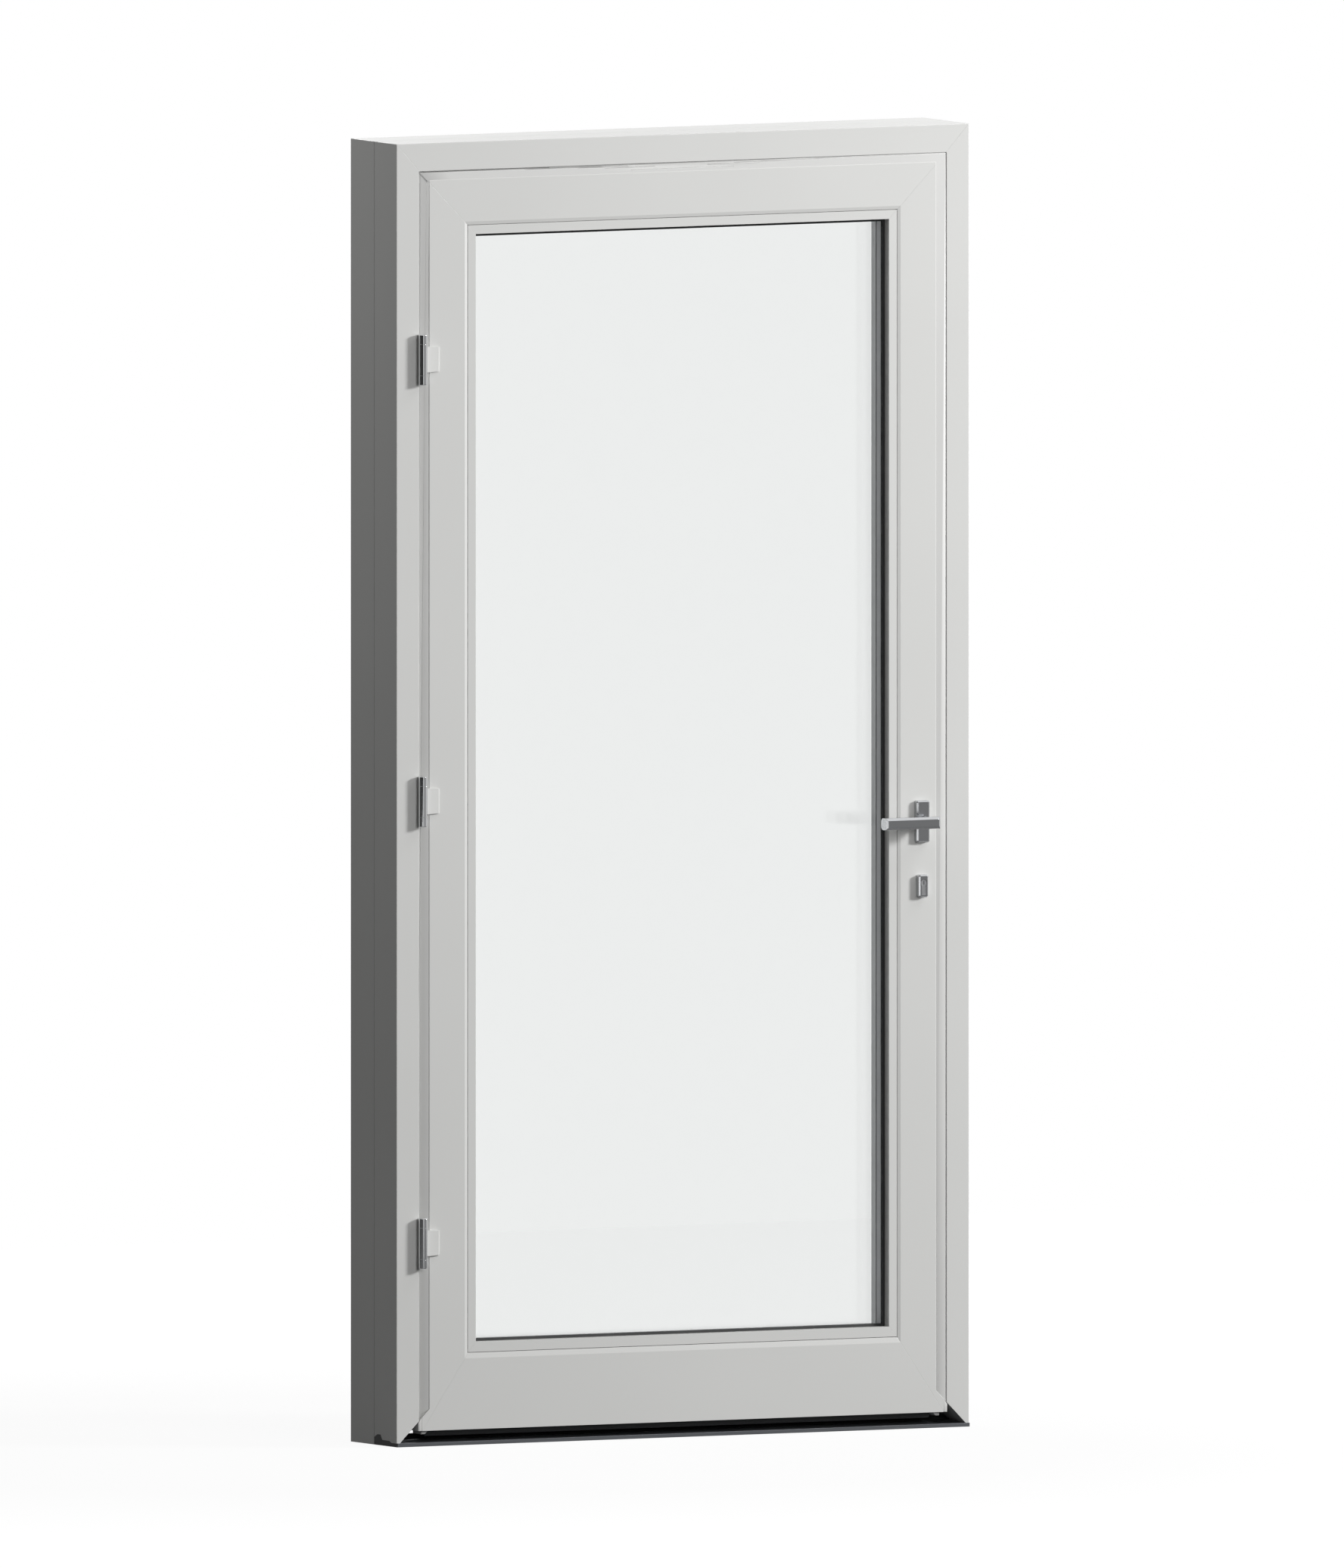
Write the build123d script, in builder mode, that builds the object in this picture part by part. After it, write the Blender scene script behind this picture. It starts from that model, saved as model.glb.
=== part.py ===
"""Glazed front door in its frame, hinged on the left and opening towards the room.

Millimetres. X runs from the hinge-side wall face to the right, Y runs away from the room,
and Z runs up from the finished floor. Y is zero at the joint between the frame and its
extension, so the room-side faces of the frame and of the leaf lie at minus frame_depth.
The frame, the leaf and the glazing beads are each made as one ring and then cut into their
members at the mitres, so that every corner closes.
"""

import os

from build123d import *

os.makedirs("parts", exist_ok=True)

# Frame
frame_width = 1092.0
frame_height = 2200.0
frame_depth = 80.0
extension_depth = 84.0
jamb_face = 43.0
head_face = 47.4
stop_width = 20.0
stop_thickness = 19.0
joint_groove = 1.2
edge_round = 1.0

# Threshold
threshold_nose = 2.5
threshold_front = 6.4
nose_round = 0.8
ramp_start = 19.0
ramp_run = 6.5
tread_height = 9.4
upstand_start = 51.0
upstand_height = 18.2
upstand_shoulder_run = 4.0
upstand_shoulder_rise = 5.3
upstand_rise_run = 6.4
upstand_crest = 10.3
upstand_back_run = 7.3
upstand_back_fall = 2.6
upstand_back_height = 12.8
crest_round = 1.6

# Leaf
leaf_thickness = 80.0
side_gap = 5.5
head_gap = 5.1
bottom_gap = 7.8
bevel_depth = 10.5
face_round = 1.2
side_bevel = 14.5
top_bevel = 10.5
lip_depth = 20.0
lip_step = 2.0
stop_gap = 7.0
seal_gap = 5.0
stile_face = 67.3
top_rail_face = 71.8
bottom_rail_face = 119.9

# Glazing
nose_bevel = 5.6
bottom_nose_bevel = 9.3
bead_recess = 1.5
nose_back = 5.0
nose_undercut = 4.9
bead_gap = 0.8
bead_face = 15.3
bottom_bead_face = 17.4
bead_depth = 15.0
pane_thickness = 4.0
cavity = 16.0
glass_cover = 17.0
room_gasket_thickness = 6.0
room_gasket_lip = 4.5
outer_gasket_thickness = 4.0
outer_gasket_lip = 2.0
outer_lip_cover = 9.0
gasket_cover = 13.0
spacer_show = 2.4
spacer_cover = 15.0

# Seals
frame_seal_width = 8.0
frame_seal_height = 3.0
bottom_seal_start = 20.0
bottom_seal_width = 28.0
bottom_seal_drop = 10.5
bottom_seal_taper = 4.0
block_width = 13.0
block_height = 6.0
block_inset = 3.6
block_setback = 9.5
block_length = 30.0

# Hinges
barrel_radius = 7.7
barrel_stand_off = 8.0
axis_from_frame_edge = 3.0
cap_height = 16.0
sleeve_height = 52.2
ring_gap = 0.4
pin_radius = 4.0
pin_clearance = 0.05
barrel_end_round = 1.0
tab_thickness = 2.5
tab_reach = 3.5
tab_height = 11.0
bottom_hinge_height = 343.0
top_hinge_drop = 365.0
bracket_length = 34.5
bracket_height = 45.0
bracket_end_height = 41.6
bracket_root_thickness = 5.4
bracket_end_thickness = 4.0
bracket_end_bevel = 2.0

# Lever, rosettes and escutcheons
lever_height = 1025.0
lever_inset = 91.5
lever_length = 104.0
lever_tail = 12.0
lever_size = 20.0
lever_stand_off = 50.0
lever_bevel = 4.0
lever_end_bevel = 3.6
lever_back_round = 6.5
neck_radius = 8.5
neck_clearance = 0.5
neck_engagement = 6.0
spindle_size = 8.0
spindle_bore_radius = 9.0
spindle_grip = 18.0
rosette_width = 25.0
rosette_height = 71.0
rosette_thickness = 10.0
rosette_corner = 3.6
rosette_bevel = 2.6
escutcheon_drop = 109.0
escutcheon_width = 18.0
escutcheon_length = 38.0
escutcheon_thickness = 11.0
escutcheon_corner = 3.2
escutcheon_bevel = 2.2
plug_rise = 5.6
plug_radius = 5.2
web_width = 7.0
web_drop = 20.0
cylinder_recess = 0.6
cylinder_clearance = 0.2
key_slot_width = 1.5
key_slot_height = 6.5
key_slot_depth = 3.0

# Lock edge
faceplate_width = 20.0
faceplate_length = 240.0
faceplate_thickness = 3.0
faceplate_drop = 45.0
faceplate_setback = 26.5
bolt_width = 12.0
latch_length = 22.0
latch_rise = 55.0
deadbolt_length = 34.0
deadbolt_drop = 50.0
strike_margin = 2.0

# Places that follow from the sizes
stop_face = frame_depth - stop_thickness
shoulder_depth = stop_face - frame_seal_height - seal_gap
leaf_side = jamb_face + side_gap
leaf_top = frame_height - head_face - head_gap
leaf_bottom = upstand_height + bottom_gap
face_side = leaf_side + side_bevel
face_top = leaf_top - top_bevel
sight_side = face_side + stile_face + nose_bevel + bead_gap + bead_face
sight_top = face_top - top_rail_face - nose_bevel - bead_gap - bead_face
sight_bottom = leaf_bottom + bottom_rail_face + bottom_nose_bevel + bead_gap + bottom_bead_face
glass_front = bead_recess + bead_depth + room_gasket_thickness
unit_thickness = 3 * pane_thickness + 2 * cavity
outer_gasket_start = glass_front + unit_thickness
outer_lip_start = outer_gasket_start + outer_gasket_thickness
axis_x = jamb_face + axis_from_frame_edge
axis_y = -frame_depth - barrel_stand_off
lever_x = frame_width - lever_inset
escutcheon_height = lever_height - escutcheon_drop
faceplate_centre = lever_height - faceplate_drop
middle_plane = Plane.YZ.offset(frame_width / 2)


def layer(depth):
    """Plane parallel to the door, the given depth behind its room-side face."""
    return Plane.XZ.offset(frame_depth - depth)


def panel(left, bottom, right, top, mode=Mode.ADD):
    """Rectangle of the front view, given by its four edges."""
    with Locations(((left + right) / 2, (bottom + top) / 2)):
        Rectangle(right - left, top - bottom, mode=mode)


def grown(edges, amount):
    """The same four edges, each moved outwards."""
    left, bottom, right, top = edges
    return left - amount, bottom - amount, right + amount, top + amount


def doorway(side, top, bottom=0.0):
    """Four edges of an upright rectangle that is centred on the door."""
    return side, bottom, frame_width - side, top


def mitre(outer, inner):
    """Plane square to the door through an outer and an inner corner of the front view."""
    run, rise = inner[0] - outer[0], inner[1] - outer[1]
    return Plane(origin=(outer[0], 0, outer[1]), x_dir=(0, 1, 0), z_dir=(-rise, 0, run))


def mirrored(plane):
    """The mitre at the other side of the door."""
    normal = plane.z_dir
    return Plane(
        origin=(frame_width - plane.origin.X, 0, plane.origin.Z),
        x_dir=(0, 1, 0),
        z_dir=(-normal.X, 0, normal.Z),
    )


def save(builder, name):
    """Label a finished piece and write its STEP file."""
    builder.part.label = name
    export_step(builder.part, f"parts/{name}.step")


sight = doorway(sight_side, sight_top, sight_bottom)
nose_edges = (
    sight_side - bead_face - bead_gap,
    sight_bottom - bottom_bead_face - bead_gap,
    frame_width - sight_side + bead_face + bead_gap,
    sight_top + bead_face + bead_gap,
)
rebate = grown(nose_edges, nose_undercut)

# The feet of the jambs and the ends of the leaf's side bevels lie on one slope at each side,
# which rises at 45 degrees from the outer bottom corner of the frame.
foot_slope = mitre((0.0, 0.0), (jamb_face, jamb_face))
frame_mitre = mitre(
    (0.0, frame_height),
    (jamb_face + stop_width, frame_height - head_face - stop_width),
)
leaf_top_mitre = mitre((leaf_side, leaf_top), (sight[0] - outer_lip_cover, sight[3] + outer_lip_cover))
leaf_foot_mitre = mitre(
    (leaf_side, leaf_bottom), (sight[0] - outer_lip_cover, sight[1] - outer_lip_cover)
)
bead_top_mitre = mitre((rebate[0], rebate[3]), (sight[0], sight[3]))
bead_foot_mitre = mitre((rebate[0], rebate[1]), (sight[0], sight[1]))


# Threshold: an aluminium tread that runs out 2.5 mm in front of the frame, and a black
# upstand behind it that the leaf closes over.
def threshold_piece(points, round_height, radius):
    """Long profile across the door; its corners at one height are rounded."""
    with BuildPart() as piece:
        with BuildSketch(Plane.YZ) as section:
            with BuildLine():
                Polyline(*[(depth - frame_depth, height) for depth, height in points], close=True)
            make_face()
            corners = section.vertices().filter_by_position(Axis.Z, round_height, round_height)
            fillet(corners, radius)
        extrude(amount=frame_width)
    return piece


ramp_end = ramp_start + ramp_run
crest_start = upstand_start + upstand_rise_run
crest_end = crest_start + upstand_crest
threshold_tread = threshold_piece(
    [
        (-threshold_nose, 0),
        (-threshold_nose, threshold_front),
        (ramp_start, threshold_front),
        (ramp_end, tread_height),
        (upstand_start, tread_height),
        (upstand_start, 0),
    ],
    threshold_front,
    nose_round,
)
threshold_upstand = threshold_piece(
    [
        (upstand_start, 0),
        (upstand_start, tread_height),
        (upstand_start + upstand_shoulder_run, tread_height + upstand_shoulder_rise),
        (crest_start, upstand_height),
        (crest_end, upstand_height),
        (crest_end + upstand_back_run, upstand_height - upstand_back_fall),
        (frame_depth, upstand_back_height),
        (frame_depth, 0),
    ],
    upstand_height,
    crest_round,
)
save(threshold_tread, "threshold_tread")
save(threshold_upstand, "threshold_upstand")


# Frame: jambs and head with the stop that the leaf closes on.
with BuildPart() as frame_ring:
    with BuildSketch(layer(0)):
        panel(*doorway(0, frame_height))
        panel(*doorway(jamb_face, frame_height - head_face), mode=Mode.SUBTRACT)
    extrude(amount=-frame_depth)
    with BuildSketch(layer(stop_face)):
        panel(*doorway(jamb_face, frame_height - head_face))
        panel(
            *doorway(jamb_face + stop_width, frame_height - head_face - stop_width),
            mode=Mode.SUBTRACT,
        )
    extrude(amount=-stop_thickness)

with BuildPart() as extension_ring:
    with BuildSketch(layer(frame_depth)):
        panel(*doorway(0, frame_height))
        panel(
            *doorway(jamb_face + stop_width, frame_height - head_face - stop_width),
            mode=Mode.SUBTRACT,
        )
    extrude(amount=-extension_depth)


def jamb_of(ring):
    """The hinge-side member of a ring, below the head's mitre, grooved along the joint."""
    with BuildPart() as jamb:
        add(ring.part)
        split(bisect_by=middle_plane, keep=Keep.BOTTOM)
        split(bisect_by=frame_mitre, keep=Keep.BOTTOM)
        outer = edges().filter_by(Axis.Z).filter_by_position(Axis.X, 0, 0)
        chamfer(outer.filter_by_position(Axis.Y, 0, 0), joint_groove)
    return jamb


def head_of(ring):
    """The top member of a ring, between both mitres, grooved along the joint."""
    with BuildPart() as head:
        add(ring.part)
        split(bisect_by=frame_mitre, keep=Keep.TOP)
        split(bisect_by=mirrored(frame_mitre), keep=Keep.TOP)
        outer = edges().filter_by(Axis.X).filter_by_position(Axis.Z, frame_height, frame_height)
        chamfer(outer.filter_by_position(Axis.Y, 0, 0), joint_groove)
    return head


hinge_jamb = jamb_of(frame_ring)
with hinge_jamb:
    room_edges = edges().filter_by(Axis.Z).filter_by_position(Axis.Y, -frame_depth, -frame_depth)
    fillet(room_edges, edge_round)
    split(bisect_by=foot_slope, keep=Keep.TOP)
    add(threshold_tread.part, mode=Mode.SUBTRACT)
    add(threshold_upstand.part, mode=Mode.SUBTRACT)
frame_head = head_of(frame_ring)
with frame_head:
    room_edges = edges().filter_by(Axis.X).filter_by_position(Axis.Y, -frame_depth, -frame_depth)
    fillet(room_edges, edge_round)
hinge_extension = jamb_of(extension_ring)
head_extension = head_of(extension_ring)
with BuildPart() as lock_extension:
    mirror(hinge_extension.part, about=middle_plane)

# Strike plate, let into the lock jamb's inner face opposite the leaf's faceplate.
strike_depth = (faceplate_setback - strike_margin, faceplate_width + 2 * strike_margin)
bolt_slots = (
    (faceplate_centre + latch_rise, latch_length),
    (faceplate_centre - deadbolt_drop, deadbolt_length),
)


def edge_plate(x, setback, width, length):
    """Upright plate on a door edge: its sketch lies on the plane at x and it runs to the right."""
    with BuildPart() as plate:
        with BuildSketch(Plane.YZ.offset(x)):
            with Locations((setback - frame_depth + width / 2, faceplate_centre)):
                Rectangle(width, length)
        extrude(amount=faceplate_thickness)
    return plate


jamb_wall = frame_width - jamb_face
strike_blank = edge_plate(jamb_wall, *strike_depth, faceplate_length)
with BuildPart() as lock_jamb:
    mirror(hinge_jamb.part, about=middle_plane)
    add(strike_blank.part, mode=Mode.SUBTRACT)
with BuildPart() as strike_plate:
    add(strike_blank.part)
    with BuildSketch(Plane.YZ.offset(jamb_wall)):
        for height, length in bolt_slots:
            with Locations((sum(strike_depth) - frame_depth - strike_depth[1] / 2, height)):
                Rectangle(bolt_width + strike_margin, length + strike_margin)
    extrude(amount=faceplate_thickness, mode=Mode.SUBTRACT)

save(hinge_jamb, "hinge_jamb")
save(lock_jamb, "lock_jamb")
save(frame_head, "frame_head")
save(hinge_extension, "hinge_extension")
save(lock_extension, "lock_extension")
save(head_extension, "head_extension")
save(strike_plate, "strike_plate")

# Seal on the room side of the stop, up one jamb, across the head and down the other.
seal_margin = (stop_width - frame_seal_width) / 2
seal_outer = doorway(
    jamb_face + seal_margin,
    frame_height - head_face - seal_margin,
    jamb_face + stop_width,
)
seal_inner = doorway(
    jamb_face + seal_margin + frame_seal_width,
    frame_height - head_face - seal_margin - frame_seal_width,
    jamb_face + stop_width,
)
with BuildPart() as frame_seal:
    with BuildSketch(layer(stop_face - frame_seal_height)):
        panel(*seal_outer)
        panel(*seal_inner, mode=Mode.SUBTRACT)
    extrude(amount=-frame_seal_height)
save(frame_seal, "frame_seal")

# Leaf: stiles and rails 80 mm thick with a rebated outer edge. The face edge is bevelled at
# both sides and at the top, and the bevels run out on the foot slopes, so the bottom rail
# shows its full width.
leaf_mid = leaf_side + lip_step
leaf_rear = jamb_face + stop_width + stop_gap
with BuildPart() as bevel_cutter:
    with BuildSketch(layer(0)):
        panel(*doorway(jamb_face, frame_height - head_face))
    extrude(amount=-bevel_depth)
    with BuildSketch(layer(0)):
        panel(*doorway(face_side, face_top))
    with BuildSketch(layer(bevel_depth)):
        panel(*doorway(leaf_side, face_top + side_bevel))
    loft(mode=Mode.SUBTRACT)
    split(bisect_by=middle_plane, keep=Keep.BOTTOM)
    split(bisect_by=foot_slope, keep=Keep.TOP)
    mirror(about=middle_plane)

with BuildPart() as leaf_ring:
    with BuildSketch(layer(0)):
        panel(*doorway(leaf_side, leaf_top, leaf_bottom))
    extrude(amount=-lip_depth)
    with BuildSketch(layer(lip_depth)):
        panel(*doorway(leaf_mid, leaf_top - lip_step, leaf_bottom))
    extrude(amount=lip_depth - shoulder_depth)
    with BuildSketch(layer(shoulder_depth)):
        panel(
            *doorway(
                leaf_rear, frame_height - head_face - stop_width - stop_gap, leaf_bottom
            )
        )
    extrude(amount=shoulder_depth - leaf_thickness)
    add(bevel_cutter.part, mode=Mode.SUBTRACT)
    face_edges = edges().filter_by_position(Axis.Y, -frame_depth, -frame_depth)
    bevel_edges = face_edges.filter_by_position(Axis.X, face_side, face_side)
    bevel_edges += face_edges.filter_by_position(Axis.Z, face_top, face_top)
    bevel_edges += face_edges.filter_by_position(
        Axis.X, frame_width - face_side, frame_width - face_side
    )
    fillet(bevel_edges, face_round)
    with BuildSketch(layer(0)):
        left, bottom, right, top = nose_edges
        panel(
            left - nose_bevel, bottom - bottom_nose_bevel, right + nose_bevel, top + nose_bevel
        )
    with BuildSketch(layer(bead_recess)):
        panel(*nose_edges)
    loft(mode=Mode.SUBTRACT)
    with BuildSketch(layer(bead_recess)):
        panel(*nose_edges)
    extrude(amount=bead_recess - nose_back, mode=Mode.SUBTRACT)
    with BuildSketch(layer(nose_back)):
        panel(*rebate)
    extrude(amount=nose_back - outer_lip_start, mode=Mode.SUBTRACT)
    with BuildSketch(layer(outer_lip_start)):
        panel(*grown(sight, outer_lip_cover))
    extrude(amount=outer_lip_start - leaf_thickness, mode=Mode.SUBTRACT)


def side_member(ring, top_mitre, foot_mitre):
    with BuildPart() as member:
        add(ring.part)
        split(bisect_by=middle_plane, keep=Keep.BOTTOM)
        split(bisect_by=top_mitre, keep=Keep.BOTTOM)
        split(bisect_by=foot_mitre, keep=Keep.TOP)
    return member


def top_member(ring, top_mitre):
    with BuildPart() as member:
        add(ring.part)
        split(bisect_by=top_mitre, keep=Keep.TOP)
        split(bisect_by=mirrored(top_mitre), keep=Keep.TOP)
    return member


def foot_member(ring, foot_mitre):
    with BuildPart() as member:
        add(ring.part)
        split(bisect_by=foot_mitre, keep=Keep.BOTTOM)
        split(bisect_by=mirrored(foot_mitre), keep=Keep.BOTTOM)
    return member


hinge_stile = side_member(leaf_ring, leaf_top_mitre, leaf_foot_mitre)
top_rail = top_member(leaf_ring, leaf_top_mitre)
bottom_rail = foot_member(leaf_ring, leaf_foot_mitre)

# Lock stile: the hinge stile turned over, with the bores for the spindle and the cylinder and
# the recess for the faceplate.
plug_height = escutcheon_height + plug_rise


def cylinder_outline(clearance):
    """Round plug with a plain web hanging from it, drawn in the current sketch."""
    with Locations((lever_x, plug_height)):
        Circle(plug_radius + clearance)
    with Locations((lever_x, plug_height - web_drop / 2)):
        Rectangle(web_width, web_drop)


faceplate_x = frame_width - leaf_mid - faceplate_thickness
faceplate_blank = edge_plate(faceplate_x, faceplate_setback, faceplate_width, faceplate_length)
with BuildPart() as lock_stile:
    mirror(hinge_stile.part, about=middle_plane)
    with BuildSketch(layer(0)):
        with Locations((lever_x, lever_height)):
            Circle(spindle_bore_radius)
        cylinder_outline(cylinder_clearance)
    extrude(amount=-leaf_thickness, mode=Mode.SUBTRACT)
    add(faceplate_blank.part, mode=Mode.SUBTRACT)
with BuildPart() as lock_faceplate:
    add(faceplate_blank.part)
    with BuildSketch(Plane.YZ.offset(faceplate_x + faceplate_thickness)):
        for height, length in bolt_slots:
            with Locations((faceplate_setback + faceplate_width / 2 - frame_depth, height)):
                Rectangle(bolt_width, length)
    extrude(amount=-faceplate_thickness / 2, mode=Mode.SUBTRACT)

save(hinge_stile, "hinge_stile")
save(lock_stile, "lock_stile")
save(top_rail, "top_rail")
save(bottom_rail, "bottom_rail")
save(lock_faceplate, "lock_faceplate")

# Glazing: triple unit held between an outer gasket on the leaf's lip and a room-side gasket
# under four beads.
with BuildPart() as bead_ring:
    with BuildSketch(layer(bead_recess)):
        panel(*grown(nose_edges, -bead_gap))
    extrude(amount=bead_recess - nose_back)
    with BuildSketch(layer(nose_back)):
        panel(*rebate)
    extrude(amount=nose_back - bead_recess - bead_depth)
    with BuildSketch(layer(bead_recess)):
        panel(*sight)
    extrude(amount=-bead_depth, mode=Mode.SUBTRACT)
hinge_bead = side_member(bead_ring, bead_top_mitre, bead_foot_mitre)
with BuildPart() as lock_bead:
    mirror(hinge_bead.part, about=middle_plane)
save(hinge_bead, "hinge_bead")
save(lock_bead, "lock_bead")
save(top_member(bead_ring, bead_top_mitre), "top_bead")
save(foot_member(bead_ring, bead_foot_mitre), "bottom_bead")


def glazing_ring(name, depth, thickness, outer, inner):
    """Flat rectangular ring; outer and inner say how far its edges lie outside the sight line."""
    with BuildPart() as ring:
        with BuildSketch(layer(depth)):
            panel(*grown(sight, outer))
            panel(*grown(sight, inner), mode=Mode.SUBTRACT)
        extrude(amount=-thickness)
    save(ring, name)


glazing_ring(
    "room_gasket", bead_recess + bead_depth, room_gasket_thickness, gasket_cover, -room_gasket_lip
)
glazing_ring(
    "outer_gasket",
    outer_gasket_start,
    outer_gasket_thickness,
    gasket_cover,
    outer_lip_cover - outer_gasket_lip,
)
for index, name in enumerate(("room_spacer", "outer_spacer")):
    spacer_start = glass_front + pane_thickness + index * (pane_thickness + cavity)
    glazing_ring(name, spacer_start, cavity, spacer_cover, -spacer_show)
for index, name in enumerate(("room_pane", "middle_pane", "outer_pane")):
    with BuildPart() as pane:
        with BuildSketch(layer(glass_front + index * (pane_thickness + cavity))):
            panel(*grown(sight, glass_cover))
        extrude(amount=-pane_thickness)
    save(pane, name)

# Bottom seal under the leaf, and the two blocks that close its ends.
block_left = leaf_side + block_inset
seal_left = block_left + block_width
with BuildPart() as bottom_seal:
    with BuildSketch(Plane.YZ.offset(seal_left)):
        with BuildLine():
            start = bottom_seal_start - frame_depth
            end = start + bottom_seal_width
            low = leaf_bottom - bottom_seal_drop
            Polyline(
                (start, leaf_bottom),
                (start, low + bottom_seal_taper),
                (start + bottom_seal_taper, low),
                (end, low),
                (end, leaf_bottom),
                close=True,
            )
        make_face()
    extrude(amount=frame_width - 2 * seal_left)
save(bottom_seal, "bottom_seal")

with BuildPart() as hinge_seal_block:
    with BuildSketch(layer(block_setback)):
        with BuildLine():
            Polyline(
                (block_left, leaf_bottom),
                (block_left, leaf_bottom - block_height),
                (block_left + block_width - block_height, leaf_bottom - block_height),
                (block_left + block_width, leaf_bottom),
                close=True,
            )
        make_face()
    extrude(amount=-block_length)
with BuildPart() as lock_seal_block:
    mirror(hinge_seal_block.part, about=middle_plane)
save(hinge_seal_block, "hinge_seal_block")
save(lock_seal_block, "lock_seal_block")


# Hinges: a post with two caps and a pin, carried by tabs on the frame's inner edge; a sleeve
# that turns on the pin; and the painted bracket that carries the sleeve on the leaf.
def hinge(name, height):
    foot = height - sleeve_height / 2 - ring_gap - cap_height
    head = height + sleeve_height / 2 + ring_gap
    with BuildPart() as post:
        for base in (foot, head):
            with BuildSketch(Plane.XY.offset(base)):
                with Locations((axis_x, axis_y)):
                    Circle(barrel_radius)
            extrude(amount=cap_height)
        ends = edges().filter_by(GeomType.CIRCLE).sort_by(Axis.Z)
        fillet([ends[0], ends[-1]], barrel_end_round)
        for base in (foot, head):
            tab_base = base + (cap_height - tab_height) / 2
            with BuildSketch(Plane.XY.offset(tab_base)):
                with Locations((jamb_face + tab_thickness / 2, (axis_y - frame_depth + tab_reach) / 2)):
                    Rectangle(tab_thickness, tab_reach - frame_depth - axis_y)
            extrude(amount=tab_height)
        with BuildSketch(Plane.XY.offset(foot + cap_height)):
            with Locations((axis_x, axis_y)):
                Circle(pin_radius)
        extrude(amount=sleeve_height + 2 * ring_gap)
    save(post, f"{name}_hinge_post")

    with BuildPart() as sleeve:
        with BuildSketch(Plane.XY.offset(height - sleeve_height / 2)):
            with Locations((axis_x, axis_y)):
                Circle(barrel_radius)
                Circle(pin_radius + pin_clearance, mode=Mode.SUBTRACT)
        extrude(amount=sleeve_height)
    save(sleeve, f"{name}_hinge_sleeve")

    end_x = axis_x + bracket_length
    with BuildPart() as bracket:
        with BuildSketch(Plane.XY.offset(height - bracket_height / 2)):
            with BuildLine():
                Polyline(
                    (axis_x, axis_y),
                    (axis_x + barrel_radius, -frame_depth - bracket_root_thickness),
                    (end_x - bracket_end_bevel, -frame_depth - bracket_end_thickness),
                    (end_x, -frame_depth - bracket_end_thickness + bracket_end_bevel),
                    (end_x, -frame_depth),
                    (face_side, -frame_depth),
                    close=True,
                )
            make_face()
            with Locations((axis_x, axis_y)):
                Circle(barrel_radius, mode=Mode.SUBTRACT)
        extrude(amount=bracket_height)
        with BuildSketch(layer(0)):
            with BuildLine():
                Polyline(
                    (axis_x, height - bracket_height / 2),
                    (end_x, height - bracket_end_height / 2),
                    (end_x, height + bracket_end_height / 2),
                    (axis_x, height + bracket_height / 2),
                    close=True,
                )
            make_face()
        extrude(amount=barrel_stand_off, mode=Mode.INTERSECT)
    save(bracket, f"{name}_hinge_bracket")


top_hinge_height = frame_height - top_hinge_drop
hinge("bottom", bottom_hinge_height)
hinge("middle", (bottom_hinge_height + top_hinge_height) / 2)
hinge("top", top_hinge_height)


# Door furniture: the same rosette, escutcheon and lever on both faces of the leaf. The outer
# lever carries the square spindle, which passes through the leaf into the room-side lever.
leaf_middle = Plane.XZ.offset(frame_depth - leaf_thickness / 2)
room_side = layer(0)


def furniture_plate(width, length, height, thickness, corner, bevel):
    """Plate with rounded corners and a bevelled front edge on the leaf's room-side face."""
    with BuildPart() as plate:
        with BuildSketch(room_side):
            with Locations((lever_x, height)):
                RectangleRounded(width, length, corner)
        extrude(amount=thickness)
        chamfer(faces().sort_by(Axis.Y)[0].edges(), bevel)
    return plate


rosette_blank = furniture_plate(
    rosette_width, rosette_height, lever_height, rosette_thickness, rosette_corner, rosette_bevel
)
with BuildPart() as room_rosette:
    add(rosette_blank.part)
    with BuildSketch(room_side):
        with Locations((lever_x, lever_height)):
            Circle(neck_radius + neck_clearance)
    extrude(amount=rosette_thickness, mode=Mode.SUBTRACT)
with BuildPart() as outer_rosette:
    mirror(room_rosette.part, about=leaf_middle)
save(room_rosette, "room_rosette")
save(outer_rosette, "outer_rosette")

escutcheon_blank = furniture_plate(
    escutcheon_width,
    escutcheon_length,
    escutcheon_height,
    escutcheon_thickness,
    escutcheon_corner,
    escutcheon_bevel,
)
with BuildPart() as room_escutcheon:
    add(escutcheon_blank.part)
    with BuildSketch(room_side):
        cylinder_outline(cylinder_clearance)
    extrude(amount=escutcheon_thickness, mode=Mode.SUBTRACT)
with BuildPart() as outer_escutcheon:
    mirror(room_escutcheon.part, about=leaf_middle)
save(room_escutcheon, "room_escutcheon")
save(outer_escutcheon, "outer_escutcheon")

cylinder_end = escutcheon_thickness - cylinder_recess
with BuildPart() as lock_cylinder:
    with BuildSketch(layer(-cylinder_end)):
        cylinder_outline(0)
    extrude(amount=-(leaf_thickness + 2 * cylinder_end))
    with BuildSketch(layer(-cylinder_end)):
        with Locations((lever_x, plug_height)):
            Rectangle(key_slot_width, key_slot_height)
    extrude(amount=-key_slot_depth, mode=Mode.SUBTRACT)
    with BuildSketch(layer(leaf_thickness + cylinder_end)):
        with Locations((lever_x, plug_height)):
            Rectangle(key_slot_width, key_slot_height)
    extrude(amount=key_slot_depth, mode=Mode.SUBTRACT)
save(lock_cylinder, "lock_cylinder")

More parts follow.
